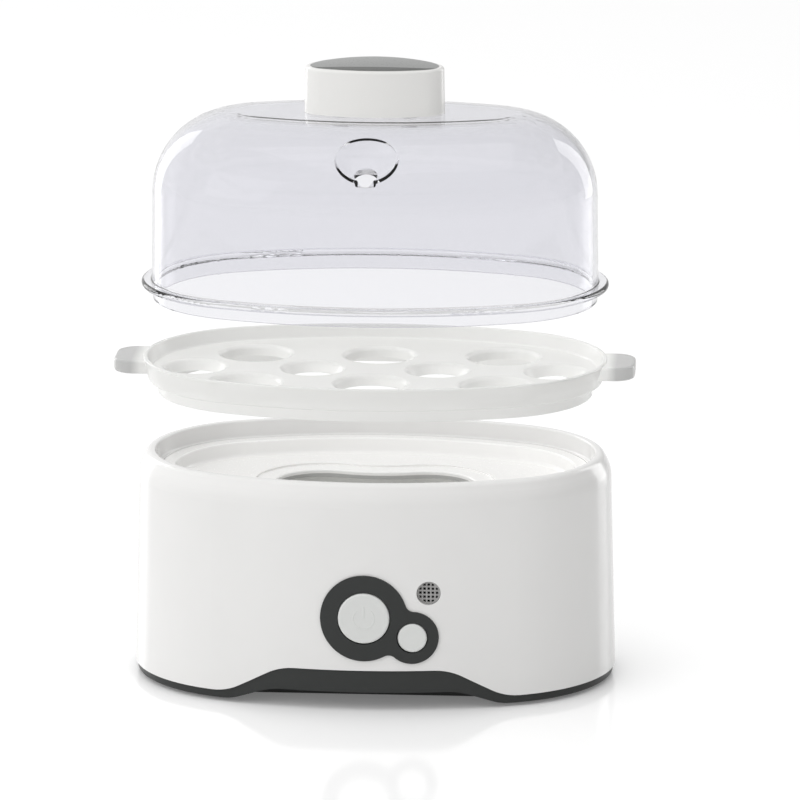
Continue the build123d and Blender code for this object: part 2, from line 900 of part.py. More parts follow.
with BuildPart() as small_button:
    with BuildSketch(Plane.XZ.offset(small_front)):
        with Locations((small_x, small_z)):
            Circle(small_radius)
    extrude(amount=flange_front - small_front)
    fillet(small_button.edges().group_by(Axis.Y)[0], button_round)
    with BuildSketch(Plane.XZ.offset(flange_front)):
        with Locations((small_x, small_z)):
            Circle(small_flange)
    extrude(amount=-button_flange_thickness)
    with BuildSketch(Plane.XZ.offset(flange_back)):
        with Locations((small_x, small_z)):
            Circle(small_stem_radius)
    extrude(amount=small_stem_end - flange_back)
small_button.part.label = "small_button"

# Circuit board, its screws, switches and buzzer
board_mid_x = (board_left + board_right) * half_share
board_mid_z = (board_low + board_high) * half_share
with BuildPart() as circuit_board:
    with BuildSketch(Plane.XZ.offset(board_front)):
        with Locations((board_mid_x, board_mid_z)):
            RectangleRounded(board_right - board_left, board_high - board_low, board_round)
        with Locations(board_boss_places):
            Circle(short_screw_radius + hole_fit, mode=Mode.SUBTRACT)
    extrude(amount=-board_thickness)
circuit_board.part.label = "circuit_board"

with BuildPart() as board_screws:
    with BuildSketch(Plane.XZ.offset(board_back)):
        with Locations(board_boss_places):
            Circle(short_screw_head)
    extrude(amount=-short_screw_head_height)
    with BuildSketch(Plane.XZ.offset(board_back)):
        with Locations(board_boss_places):
            Circle(short_screw_radius)
    extrude(amount=short_screw_length)
board_screws.part.label = "board_screws"

with BuildPart() as power_switch:
    with BuildSketch(Plane.XZ.offset(board_front)):
        with Locations((dial_x, dial_z)):
            RectangleRounded(power_switch_side, power_switch_side, switch_round)
    extrude(amount=power_switch_front - board_front)
    with BuildSketch(Plane.XZ.offset(board_front + switch_floor)):
        with Locations((dial_x, dial_z)):
            Circle(power_stem_radius + switch_bore_fit)
    extrude(amount=power_switch_front - board_front, mode=Mode.SUBTRACT)
power_switch.part.label = "power_switch"

with BuildPart() as small_switch:
    with BuildSketch(Plane.XZ.offset(board_front)):
        with Locations((small_x, small_z)):
            RectangleRounded(small_switch_side, small_switch_side, switch_round)
    extrude(amount=small_switch_front - board_front)
    with BuildSketch(Plane.XZ.offset(board_front + switch_floor)):
        with Locations((small_x, small_z)):
            Circle(small_stem_radius + switch_bore_fit)
    extrude(amount=small_switch_front - board_front, mode=Mode.SUBTRACT)
small_switch.part.label = "small_switch"

with BuildPart() as buzzer:
    with BuildSketch(Plane.XZ.offset(board_front)):
        with Locations((grille_x, grille_z)):
            Circle(buzzer_radius)
    extrude(amount=buzzer_front - board_front)
    with BuildSketch(Plane.XZ.offset(buzzer_front)):
        with Locations((grille_x, grille_z)):
            Circle(buzzer_port)
    extrude(amount=-buzzer_port_depth, mode=Mode.SUBTRACT)
buzzer.part.label = "buzzer"

# Buzzer grille: a disc with a grid of square openings, set back in the wall
with BuildPart() as buzzer_grille:
    with BuildSketch(Plane.XZ.offset(grille_front)):
        with Locations((grille_x, grille_z)):
            Circle(grille_radius)
    extrude(amount=-grille_thickness)
    with BuildSketch(Plane.XZ.offset(grille_front + overrun)):
        with Locations((grille_x, grille_z)):
            with GridLocations(grille_pitch, grille_pitch, grille_rows, grille_rows):
                Rectangle(grille_opening, grille_opening)
            Circle(grille_radius - grille_rim, mode=Mode.INTERSECT)
    extrude(amount=-grille_thickness - 2 * overrun, mode=Mode.SUBTRACT)
buzzer_grille.part.label = "buzzer_grille"

# Cord gland through the rear wall
with BuildPart() as cord_gland:
    with BuildSketch(Plane.XZ.offset(-gland_seat)):
        with Locations((0, gland_z)):
            Circle(gland_flange)
    extrude(amount=-gland_flange_thickness)
    fillet(cord_gland.edges().group_by(Axis.Y)[-1], gland_round)
    with BuildSketch(Plane.XZ.offset(-gland_seat)):
        with Locations((0, gland_z)):
            Circle(gland_neck)
    extrude(amount=gland_seat - gland_back)
    with BuildSketch(Plane.XZ.offset(-gland_back)):
        with Locations((0, gland_z)):
            Circle(gland_nut)
    extrude(amount=gland_nut_thickness)
    with BuildSketch(Plane.XZ.offset(overrun - gland_inside)):
        with Locations((0, gland_z)):
            Circle(gland_bore)
    extrude(amount=gland_inside - gland_seat - gland_flange_thickness - 2 * overrun, mode=Mode.SUBTRACT)
cord_gland.part.label = "cord_gland"

# Terminal block on the cover floor
block_top = cover_floor_top + block_height
with BuildPart() as terminal_block:
    with BuildSketch(Plane.XY.offset(cover_floor_top)):
        with Locations((0, block_y)):
            RectangleRounded(block_length, block_depth, block_round)
    extrude(amount=block_height)
    with BuildSketch(Plane.XY.offset(block_top)):
        with Locations((0, block_y)):
            with GridLocations(block_pitch, block_depth * half_share, 2, 2):
                Circle(block_way_radius)
    extrude(amount=-block_way_depth, mode=Mode.SUBTRACT)
terminal_block.part.label = "terminal_block"

# Wires: supply cores to the block, block to element and thermostat, board to element and fuse
way_x = block_pitch * half_share
way_step = block_depth * half_share * half_share
way_bottom = block_top - block_way_depth + wire_gap
core_start = gland_inside - wire_clear
pin_end = tube_leg_end + tube_pin_length + wire_gap
lead_end = fuse_left + fuse_length + fuse_lead_length + wire_gap
tab_end = thermostat_bottom - tab_length - wire_gap
board_wire_start = -board_back + wire_gap
wire_level = tab_end - wire_drop
board_wire_top = board_wire_z + board_wire_rise
wire_routes = [
    [
        (wire_pair, core_start, gland_z),
        (way_x, block_y + way_step, gland_z),
        (way_x, block_y + way_step, way_bottom),
    ],
    [
        (-wire_pair, core_start, gland_z),
        (-way_x, block_y + way_step, gland_z),
        (-way_x, block_y + way_step, way_bottom),
    ],
    [
        (way_x, block_y - way_step, way_bottom),
        (way_x, block_y - way_step, wire_level),
        (pin_end + wire_turn, tube_leg_y, wire_level),
        (pin_end + wire_turn, tube_leg_y, tube_z),
        (pin_end, tube_leg_y, tube_z),
    ],
    [
        (-way_x, block_y - way_step, way_bottom),
        (-way_x, block_y - way_step, wire_level),
        (thermostat_x - tab_offset, 0, wire_level),
        (thermostat_x - tab_offset, 0, tab_end),
    ],
    [
        (board_wire_x - board_wire_step, board_wire_start, board_wire_z),
        (board_wire_x - board_wire_step, board_wire_start + board_wire_run, board_wire_z),
        (pin_end + wire_turn, -tube_leg_y, board_wire_z),
        (pin_end + wire_turn, -tube_leg_y, tube_z),
        (pin_end, -tube_leg_y, tube_z),
    ],
    [
        (board_wire_x, board_wire_start, board_wire_top),
        (board_wire_x, board_wire_start + board_wire_run, board_wire_top),
        (lead_end + wire_turn, 0, board_wire_top),
        (lead_end + wire_turn, 0, fuse_z),
        (lead_end, 0, fuse_z),
    ],
]
with BuildPart() as wires:
    for route in wire_routes:
        with BuildLine() as wire_path:
            FilletPolyline(*route, radius=wire_bend)
        with BuildSketch(Plane(origin=wire_path.line @ 0, z_dir=wire_path.line % 0)):
            Circle(wire_radius)
        sweep()
wires.part.label = "wires"

# Egg tray: one profile swept round the oval, a deck with seats, and a tab at each end
with BuildPart() as tray_tabs:
    with BuildSketch(Plane.XY.offset(tray_rim - tab_drop)):
        RectangleRounded(2 * tab_tip, 2 * tab_half, tab_corner)
    extrude(amount=-tab_thick)
    fillet(tray_tabs.edges().group_by(Axis.Z)[-1] + tray_tabs.edges().group_by(Axis.Z)[0], tab_edge_round)
    with BuildSketch(Plane.XY.offset(tray_rim)):
        with BuildLine():
            body_oval(tab_root_inset)
        make_face()
    extrude(amount=-2 * tab_thick, mode=Mode.SUBTRACT)

with BuildPart() as egg_tray:
    with BuildLine():
        body_oval(tray_inset)
    with BuildSketch(Plane.XZ):
        with BuildLine():
            FilletPolyline(
                (tray_lip_half - tray_lip_lean, tray_lip_bottom),
                (tray_lip_half, tray_shoulder),
                (tray_shoulder_half, tray_shoulder),
                (tray_rim_half, tray_rim),
                (tray_rim_half - tray_wall, tray_rim),
                (tray_deck_half, tray_deck),
                (tray_deck_ring, tray_deck),
                (tray_deck_ring, tray_deck_under),
                (tray_lip_half - tray_lip_wall, tray_deck_under),
                (tray_lip_half - tray_lip_lean - tray_lip_wall, tray_lip_bottom),
                radius=(
                    0,
                    0,
                    tray_shoulder_round,
                    tray_rim_round,
                    tray_rim_round,
                    tray_corner_round,
                    0,
                    0,
                    0,
                    0,
                ),
                close=True,
            )
        make_face()
    sweep()
    with BuildSketch(Plane.XY.offset(tray_deck_under)):
        with BuildLine():
            body_oval(tray_ring_inset)
        make_face()
    extrude(amount=tray_deck_thickness)
    add(tray_tabs.part)
    with Locations((0, 0, tray_deck - seat_depth * half_share)):
        with GridLocations(seat_pitch_x, seat_pitch_y, 3, 2):
            Cone(seat_radius + seat_wall, seat_mouth + seat_wall, seat_depth)
        with Locations(steam_places):
            Cone(steam_radius + seat_wall, steam_mouth + seat_wall, seat_depth)
        with GridLocations(seat_pitch_x, seat_pitch_y, 3, 2):
            Cone(seat_radius, seat_mouth, seat_depth, mode=Mode.SUBTRACT)
        with Locations(steam_places):
            Cone(steam_radius, steam_mouth, seat_depth, mode=Mode.SUBTRACT)
    deck_edges = egg_tray.edges().filter_by_position(Axis.Z, tray_deck, tray_deck)
    fillet(deck_edges.filter_by(lambda edge: edge.is_closed), seat_edge_round)
egg_tray.part.label = "egg_tray"

# Lid: skirt, flange and dome in one profile swept round the oval, closed by a flat top
dome_foot_half = lid_half - lid_lean
arc_start = lid_top - lid_arc_radius
arc_centre_x = dome_foot_half - lid_arc_radius
inner_arc = lid_arc_radius - lid_wall
inner_top = lid_top - lid_wall
top_ring_x = arc_centre_x - lid_top_ring
flange_top = lid_seat + lid_flange_thickness
skirt_bottom = lid_seat - lid_skirt_height

# The scoop sits on the front shoulder, where the dome has turned by scoop_angle
scoop_turn = radians(scoop_angle)
scoop_y = half_depth - half_width + arc_centre_x + lid_arc_radius * cos(scoop_turn)
scoop_z = arc_start + lid_arc_radius * sin(scoop_turn)
scoop_stand = sqrt(scoop_radius ** 2 - scoop_circle ** 2)
scoop_ball_y = scoop_y + scoop_stand * cos(scoop_turn)
scoop_ball_z = scoop_z + scoop_stand * sin(scoop_turn)

with BuildPart() as lid_core:
    with BuildLine():
        body_oval(lid_inset)
    with BuildSketch(Plane.XZ):
        with BuildLine():
            Line((dome_foot_half, arc_start), (top_ring_x, arc_start))
            Line((top_ring_x, arc_start), (top_ring_x, lid_top))
            Line((top_ring_x, lid_top), (arc_centre_x, lid_top))
            CenterArc((arc_centre_x, arc_start), lid_arc_radius, quarter_turn, -quarter_turn)
        make_face()
    sweep()
    with BuildSketch(Plane.XY.offset(arc_start)):
        with BuildLine():
            body_oval(half_width - top_ring_x)
        make_face()
    extrude(amount=lid_arc_radius)

with BuildPart() as scoop_cup:
    with Locations((0, -scoop_ball_y, scoop_ball_z)):
        Sphere(scoop_radius + lid_wall)
    add(lid_core.part, mode=Mode.INTERSECT)

with BuildPart() as lid:
    with BuildLine():
        body_oval(lid_inset)
    with BuildSketch(Plane.XZ):
        with BuildLine():
            Line((lid_skirt_half, skirt_bottom), (lid_half, lid_seat))
            FilletPolyline(
                (lid_half, lid_seat),
                (lid_flange_half, lid_seat),
                (lid_flange_half, flange_top),
                (lid_half, flange_top),
                (dome_foot_half, arc_start),
                radius=(lid_flange_round, lid_flange_round, lid_fillet),
            )
            CenterArc((arc_centre_x, arc_start), lid_arc_radius, 0, quarter_turn)
            Line((arc_centre_x, lid_top), (top_ring_x, lid_top))
            Line((top_ring_x, lid_top), (top_ring_x, inner_top))
            Line((top_ring_x, inner_top), (arc_centre_x, inner_top))
            CenterArc((arc_centre_x, arc_start), inner_arc, quarter_turn, -quarter_turn)
            Line((dome_foot_half - lid_wall, arc_start), (lid_half - lid_wall, lid_seat))
            Line((lid_half - lid_wall, lid_seat), (lid_skirt_half - lid_wall, skirt_bottom))
            Line((lid_skirt_half - lid_wall, skirt_bottom), (lid_skirt_half, skirt_bottom))
        make_face()
    sweep()
    with BuildSketch(Plane.XY.offset(inner_top)):
        with BuildLine():
            body_oval(half_width - top_ring_x)
        make_face()
    extrude(amount=lid_wall)
    add(scoop_cup.part)
    with Locations((0, -scoop_ball_y, scoop_ball_z)):
        Sphere(scoop_radius, mode=Mode.SUBTRACT)
    with BuildSketch(Plane.XY.offset(scoop_ball_z)):
        with Locations((0, vent_hole_inset - half_depth)):
            Circle(vent_hole)
    extrude(amount=-scoop_radius - lid_wall, mode=Mode.SUBTRACT)
    with BuildSketch(Plane.XY.offset(inner_top - overrun)):
        with Locations(handle_screw_places):
            Circle(handle_screw_radius + hole_fit)
    extrude(amount=lid_wall + 2 * overrun, mode=Mode.SUBTRACT)
lid.part.label = "lid"

# Lid handle with a crowned cap let into its top
handle_top = lid_top + handle_height
cap_floor = handle_top - cap_sink
with BuildPart() as lid_handle:
    with BuildSketch(Plane.XY.offset(lid_top)):
        with BuildLine():
            oval_arcs(handle_half_width, handle_half_depth, handle_end_radius, 0)
        make_face()
    with BuildSketch(Plane.XY.offset(handle_top)):
        with BuildLine():
            oval_arcs(handle_half_width, handle_half_depth, handle_end_radius, handle_lean)
        make_face()
    loft()
    fillet(lid_handle.edges().group_by(Axis.Z)[-1], handle_round)
    with BuildSketch(Plane.XY.offset(cap_floor)):
        with BuildLine():
            oval_arcs(handle_half_width, handle_half_depth, handle_end_radius, handle_lean + cap_inset)
        make_face()
    extrude(amount=cap_sink + overrun, mode=Mode.SUBTRACT)
    with BuildSketch(Plane.XY.offset(lid_top)):
        with Locations(handle_screw_places):
            Circle(handle_screw_radius + screw_fit)
    extrude(amount=handle_screw_length, mode=Mode.SUBTRACT)
lid_handle.part.label = "lid_handle"

cap_half = handle_half_width - handle_lean - cap_inset
crown_radius = (cap_half ** 2 + cap_crown ** 2) / (2 * cap_crown)
with BuildPart() as handle_cap:
    with BuildSketch(Plane.XY.offset(cap_floor)):
        with BuildLine():
            oval_arcs(
                handle_half_width, handle_half_depth, handle_end_radius, handle_lean + cap_inset + cap_fit
            )
        make_face()
    extrude(amount=cap_sink + cap_crown)
    with Locations((0, 0, handle_top + cap_crown - crown_radius)):
        Sphere(crown_radius, mode=Mode.INTERSECT)
handle_cap.part.label = "handle_cap"

with BuildPart() as handle_screws:
    with BuildSketch(Plane.XY.offset(inner_top)):
        with Locations(handle_screw_places):
            Circle(handle_screw_head)
    extrude(amount=-handle_screw_head_height)
    with BuildSketch(Plane.XY.offset(inner_top)):
        with Locations(handle_screw_places):
            Circle(handle_screw_radius)
    extrude(amount=handle_screw_length)
    with BuildSketch(Plane.XY.offset(inner_top - handle_screw_head_height)):
        with Locations(handle_screw_places):
            Rectangle(2 * cross_reach, 2 * cross_half)
            Rectangle(2 * cross_half, 2 * cross_reach)
    extrude(amount=cross_depth, mode=Mode.SUBTRACT)
handle_screws.part.label = "handle_screws"

# Write each piece to its own file
os.makedirs("parts", exist_ok=True)
export_step(housing.part, "parts/housing.step")
export_step(basin.part, "parts/basin.step")
export_step(bottom_cover.part, "parts/bottom_cover.step")
export_step(rubber_feet.part, "parts/rubber_feet.step")
export_step(cover_screws.part, "parts/cover_screws.step")
export_step(heating_plate.part, "parts/heating_plate.step")
export_step(plate_seal.part, "parts/plate_seal.step")
export_step(plate_clips.part, "parts/plate_clips.step")
export_step(clip_screws.part, "parts/clip_screws.step")
export_step(heating_element.part, "parts/heating_element.step")
export_step(thermostat.part, "parts/thermostat.step")
export_step(thermal_fuse.part, "parts/thermal_fuse.step")
export_step(control_bezel.part, "parts/control_bezel.step")
export_step(power_button.part, "parts/power_button.step")
export_step(small_button.part, "parts/small_button.step")
export_step(circuit_board.part, "parts/circuit_board.step")
export_step(board_screws.part, "parts/board_screws.step")
export_step(power_switch.part, "parts/power_switch.step")
export_step(small_switch.part, "parts/small_switch.step")
export_step(buzzer.part, "parts/buzzer.step")
export_step(buzzer_grille.part, "parts/buzzer_grille.step")
export_step(cord_gland.part, "parts/cord_gland.step")
export_step(terminal_block.part, "parts/terminal_block.step")
export_step(wires.part, "parts/wires.step")
export_step(egg_tray.part, "parts/egg_tray.step")
export_step(lid.part, "parts/lid.step")
export_step(lid_handle.part, "parts/lid_handle.step")
export_step(handle_cap.part, "parts/handle_cap.step")
export_step(handle_screws.part, "parts/handle_screws.step")
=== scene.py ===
"""Looks of the electric egg cooker, in metres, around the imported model."""
import math

import bmesh
import bpy
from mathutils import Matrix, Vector


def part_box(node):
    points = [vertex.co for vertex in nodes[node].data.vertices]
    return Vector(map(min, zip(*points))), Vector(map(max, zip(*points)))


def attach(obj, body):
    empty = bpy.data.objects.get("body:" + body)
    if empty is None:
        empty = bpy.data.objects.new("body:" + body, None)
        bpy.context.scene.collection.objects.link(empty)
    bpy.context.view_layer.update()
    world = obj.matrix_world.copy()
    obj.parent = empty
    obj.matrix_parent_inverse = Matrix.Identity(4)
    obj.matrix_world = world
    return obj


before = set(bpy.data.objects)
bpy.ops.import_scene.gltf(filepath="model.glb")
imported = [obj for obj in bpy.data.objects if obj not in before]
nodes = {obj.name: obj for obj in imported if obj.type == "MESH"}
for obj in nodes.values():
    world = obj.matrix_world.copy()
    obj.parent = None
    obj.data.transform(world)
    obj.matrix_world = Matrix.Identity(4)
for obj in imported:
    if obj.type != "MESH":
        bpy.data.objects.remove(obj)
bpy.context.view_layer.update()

# Camera: long lens, a little above level and a little to the right
VIEW_WIDTH = 0.352
VIEW_TARGET = Vector((0.011, 0.0, 0.1225))
VIEW_AZIMUTH = math.radians(4.0)
VIEW_ELEVATION = math.radians(13.5)
CAMERA_DISTANCE = 3.0
CAMERA_REACH = 50.0
SENSOR_WIDTH = 36.0

# Floor
FLOOR_HALF = 8.0
FLOOR_DROP = 0.0002
FLOOR_COLOUR = (0.97, 0.97, 0.97)
FLOOR_DRIFT = 0.005
FLOOR_DRIFT_SCALE = 2.0
FLOOR_ROUGHNESS = 0.12
FLOOR_IOR = 1.45
FLOOR_GLOW = 0.14

# World: brightness at its left and right, and where along X it falls off
WORLD_STRENGTH = 1.0
WORLD_LEFT = 1.14
WORLD_RIGHT = 0.50
WORLD_FALL_END = 0.9

# Soft lamps, as place, size and power
LAMP_TARGET = (0.0, 0.0, 0.1)
SOFT_LAMPS = {
    "key_left": ((-1.3, -1.1, 0.9), 1.0, 3.5),
    "top_soft": ((0.1, -0.3, 1.8), 1.4, 6.5),
}

# Strips behind the object that edge its glossy sides
RIM_ASIDE = 1.05
RIM_BEHIND = 1.05
RIM_HEIGHT = 0.5
RIM_WIDTH = 0.5
RIM_TALL = 1.4
RIM_POWER = 5.0

# Noise: the middle part of its range, and the detail of drift and of surface
NOISE_LOW = 0.3
NOISE_HIGH = 0.7
DRIFT_DETAIL = 3.0
SURFACE_DETAIL = 4.0
SURFACE_NOISE_ROUGHNESS = 0.6
EVEN = (1.0, 1.0, 1.0)

# Moulded plastic
PLASTIC_IOR = 1.5
PLASTIC_DRIFT_SCALE = 30.0
PLASTIC_BUMP = 0.00004
COAT_ROUGHNESS = 0.06

# Metal
METAL_DRIFT = 0.08
METAL_DRIFT_SCALE = 120.0
METAL_GRAIN = 300.0
METAL_BUMP_STRENGTH = 0.15
METAL_BUMP = 0.00003
SCREW_STRETCH = (1.0, 1.0, 6.0)

# Clear lid
LID_TINT = (0.842, 0.842, 0.870)
LID_IOR = 1.38
LID_HAZE = (0.0, 0.02)
LID_HAZE_SCALE = 14.0

# Tray colours, the painted shade that turns its tabs greyer along X, and its frosting
TRAY_MILKY = (0.84, 0.84, 0.825)
TRAY_DRIFT = 0.02
TRAY_DRIFT_SCALE = 40.0
TAB_PAINTED_SHADE = (0.56, 0.56, 0.555)
TAB_SHADE_START = 0.1025
TAB_SHADE_END = 0.1065
TRAY_FROST = (0.20, 0.26)
TRAY_FROST_SCALE = 60.0
TRAY_BUMP_STRENGTH = 0.02
TRAY_BUMP = 0.0001
TRAY_TRANSMISSION = 0.35
TRAY_IOR = 1.3

# Power mark on the large button
MARK_RADIUS = 0.0046
MARK_GAP = math.radians(42.0)
MARK_WIDTH = 0.0007
MARK_PROUD = 0.00012
MARK_STEPS = 40
BAR_TOP_SHARE = 1.15
BAR_FOOT_SHARE = 0.1
RIBBON_SECTION = ((-1.0, 0.0), (-0.75, 1.0), (0.75, 1.0), (1.0, 0.0))


def opaque(colour):
    """Gives a colour with full alpha."""
    return (*colour, 1.0)


def set_inputs(shader, values):
    """Sets a shader's sockets by name."""
    for name, value in values.items():
        shader.inputs[name].default_value = value


def new_material(name):
    """Gives a node material with its tree and its shader."""
    material = bpy.data.materials.new(name)
    material.use_nodes = True
    tree = material.node_tree
    return material, tree, tree.nodes["Principled BSDF"]


def noise(tree, scale, detail, roughness=0.5, stretch=EVEN):
    """Adds a noise texture in object coordinates, in features per metre."""
    coordinates = tree.nodes.new("ShaderNodeTexCoord")
    mapping = tree.nodes.new("ShaderNodeMapping")
    mapping.inputs["Scale"].default_value = stretch
    texture = tree.nodes.new("ShaderNodeTexNoise")
    set_inputs(texture, {"Scale": scale, "Detail": detail, "Roughness": roughness})
    tree.links.new(coordinates.outputs["Object"], mapping.inputs["Vector"])
    tree.links.new(mapping.outputs["Vector"], texture.inputs["Vector"])
    return texture


def spread(tree, source, low, high):
    """Maps a noise value to a range."""
    mapped = tree.nodes.new("ShaderNodeMapRange")
    set_inputs(
        mapped,
        {"From Min": NOISE_LOW, "From Max": NOISE_HIGH, "To Min": low, "To Max": high},
    )
    tree.links.new(source.outputs["Fac"], mapped.inputs["Value"])
    return mapped.outputs["Result"]


def vary_colour(tree, shader, colour, amount, scale):
    """Gives the shader a colour that drifts a little over the surface."""
    texture = noise(tree, scale, DRIFT_DETAIL)
    mix = tree.nodes.new("ShaderNodeMix")
    mix.data_type = "RGBA"
    mix.inputs["A"].default_value = opaque([c * (1.0 - amount) for c in colour])
    mix.inputs["B"].default_value = opaque([min(1.0, c * (1.0 + amount)) for c in colour])
    tree.links.new(texture.outputs["Fac"], mix.inputs["Factor"])
    tree.links.new(mix.outputs["Result"], shader.inputs["Base Color"])
    return mix.outputs["Result"]


def vary_surface(tree, shader, roughness, scale, strength, distance, stretch=EVEN):
    """Gives the shader uneven roughness and a fine bump."""
    texture = noise(tree, scale, SURFACE_DETAIL, SURFACE_NOISE_ROUGHNESS, stretch)
    tree.links.new(spread(tree, texture, *roughness), shader.inputs["Roughness"])
    bump = tree.nodes.new("ShaderNodeBump")
    set_inputs(bump, {"Strength": strength, "Distance": distance})
    tree.links.new(texture.outputs["Fac"], bump.inputs["Height"])
    tree.links.new(bump.outputs["Normal"], shader.inputs["Normal"])


def plastic(name, colour, roughness, amount=0.02, grain=1400.0, strength=0.08, coat=0.0, specular=0.5):
    """Moulded plastic with a faint grain and drift of colour."""
    material, tree, shader = new_material(name)
    vary_colour(tree, shader, colour, amount, PLASTIC_DRIFT_SCALE)
    vary_surface(tree, shader, roughness, grain, strength, PLASTIC_BUMP)
    set_inputs(
        shader,
        {
            "IOR": PLASTIC_IOR,
            "Specular IOR Level": specular,
            "Coat Weight": coat,
            "Coat Roughness": COAT_ROUGHNESS,
        },
    )
    return material


def metal(name, colour, roughness, stretch):
    """Metal with a drawn or rolled grain along one way."""
    material, tree, shader = new_material(name)
    vary_colour(tree, shader, colour, METAL_DRIFT, METAL_DRIFT_SCALE)
    vary_surface(tree, shader, roughness, METAL_GRAIN, METAL_BUMP_STRENGTH, METAL_BUMP, stretch)
    shader.inputs["Metallic"].default_value = 1.0
    return material


def clear_plastic():
    """Clear moulded lid: a faint cool tint and a polish that varies slowly."""
    material, tree, shader = new_material("lid_clear")
    haze = noise(tree, LID_HAZE_SCALE, DRIFT_DETAIL)
    tree.links.new(spread(tree, haze, *LID_HAZE), shader.inputs["Roughness"])
    set_inputs(
        shader,
        {"Base Color": opaque(LID_TINT), "Transmission Weight": 1.0, "IOR": LID_IOR},
    )
    return material


def frosted_plastic():
    """Milky translucent tray, with painted shade that greys its solid tabs."""
    material, tree, shader = new_material("tray_frosted")
    milky = vary_colour(tree, shader, TRAY_MILKY, TRAY_DRIFT, TRAY_DRIFT_SCALE)
    coordinates = tree.nodes.new("ShaderNodeTexCoord")
    axes = tree.nodes.new("ShaderNodeSeparateXYZ")
    outward = tree.nodes.new("ShaderNodeMath")
    outward.operation = "ABSOLUTE"
    # Painted shade: past a set distance along X the tabs are mixed towards grey, standing in for the
    # shade that falls on them
    reach = tree.nodes.new("ShaderNodeMapRange")
    set_inputs(reach, {"From Min": TAB_SHADE_START, "From Max": TAB_SHADE_END, "To Min": 0.0, "To Max": 1.0})
    tint = tree.nodes.new("ShaderNodeMix")
    tint.data_type = "RGBA"
    tint.inputs["B"].default_value = opaque(TAB_PAINTED_SHADE)
    tree.links.new(coordinates.outputs["Object"], axes.inputs["Vector"])
    tree.links.new(axes.outputs["X"], outward.inputs[0])
    tree.links.new(outward.outputs["Value"], reach.inputs["Value"])
    tree.links.new(reach.outputs["Result"], tint.inputs["Factor"])
    tree.links.new(milky, tint.inputs["A"])
    tree.links.new(tint.outputs["Result"], shader.inputs["Base Color"])
    vary_surface(tree, shader, TRAY_FROST, TRAY_FROST_SCALE, TRAY_BUMP_STRENGTH, TRAY_BUMP)
    set_inputs(shader, {"Transmission Weight": TRAY_TRANSMISSION, "IOR": TRAY_IOR})
    return material


# Finishes, as colour and range of roughness
WHITE = plastic("shell_white", (0.80, 0.795, 0.785), (0.16, 0.24), strength=0.04, coat=0.35)
# Painted light: the basin's white is set lighter than the shell's white, standing in for light in the
# shaded mouth
BASIN_PAINTED_LIGHT_WHITE = plastic("basin_white_painted_lighter", (0.91, 0.905, 0.89), (0.20, 0.28), coat=0.2)
HANDLE_WHITE = plastic("handle_white", (0.78, 0.775, 0.76), (0.22, 0.28), strength=0.015, coat=0.2)
BUTTON = plastic("button_white", (0.70, 0.71, 0.695), (0.30, 0.40), strength=0.12)
DARK = plastic("trim_dark", (0.034, 0.036, 0.035), (0.38, 0.50), amount=0.06, strength=0.2, specular=0.25)
GREY = plastic("cap_grey", (0.20, 0.205, 0.20), (0.26, 0.34), coat=0.1)
GRILLE = plastic("grille_grey", (0.34, 0.335, 0.33), (0.38, 0.48), strength=0.2)
BLACK = plastic("switch_black", (0.025, 0.025, 0.026), (0.40, 0.52), strength=0.2)
LAMINATE = plastic("board_green", (0.035, 0.16, 0.065), (0.28, 0.42), amount=0.12)
CERAMIC = plastic("block_cream", (0.66, 0.64, 0.58), (0.45, 0.58), strength=0.2)
SHEATH = plastic("wire_red", (0.45, 0.05, 0.04), (0.36, 0.48), amount=0.08)
RUBBER = plastic("foot_rubber", (0.035, 0.035, 0.036), (0.70, 0.85), grain=2200.0, strength=0.35)
SEAL = plastic("seal_grey", (0.46, 0.46, 0.45), (0.55, 0.70), strength=0.3)
PLATE = metal("plate_coated", (0.72, 0.72, 0.705), (0.45, 0.58), EVEN)
ZINC = metal("screw_zinc", (0.62, 0.62, 0.64), (0.25, 0.38), SCREW_STRETCH)
CLEAR = clear_plastic()
FROSTED = frosted_plastic()

FINISHES = {
    "housing": WHITE,
    "basin": BASIN_PAINTED_LIGHT_WHITE,
    "bottom_cover": DARK,
    "rubber_feet": RUBBER,
    "cover_screws": ZINC,
    "heating_plate": PLATE,
    "plate_seal": SEAL,
    "plate_clips": ZINC,
    "clip_screws": ZINC,
    "heating_element": ZINC,
    "thermostat": CERAMIC,
    "thermal_fuse": CERAMIC,
    "control_bezel": DARK,
    "circuit_board": LAMINATE,
    "board_screws": ZINC,
    "power_switch": BLACK,
    "small_switch": BLACK,
    "buzzer": BLACK,
    "buzzer_grille": GRILLE,
    "cord_gland": RUBBER,
    "terminal_block": CERAMIC,
    "wires": SHEATH,
    "power_button": BUTTON,
    "small_button": BUTTON,
    "egg_tray": FROSTED,
    "lid": CLEAR,
    "lid_handle": HANDLE_WHITE,
    "handle_cap": GREY,
    "handle_screws": ZINC,
}
for name, material in FINISHES.items():
    nodes[name].data.materials.clear()
    nodes[name].data.materials.append(material)

# Clear and milky plastic lets the studio light through to what lies under it
for name in ("lid", "egg_tray"):
    nodes[name].visible_shadow = False
    nodes[name].visible_diffuse = False


def add_object(name, data):
    """Links a new object to the scene."""
    added = bpy.data.objects.new(name, data)
    bpy.context.scene.collection.objects.link(added)
    return added


def new_piece(name, mesh, body, material):
    """Links a mesh as a piece that rides on a body."""
    piece = add_object(name, mesh)
    mesh.materials.append(material)
    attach(piece, body)


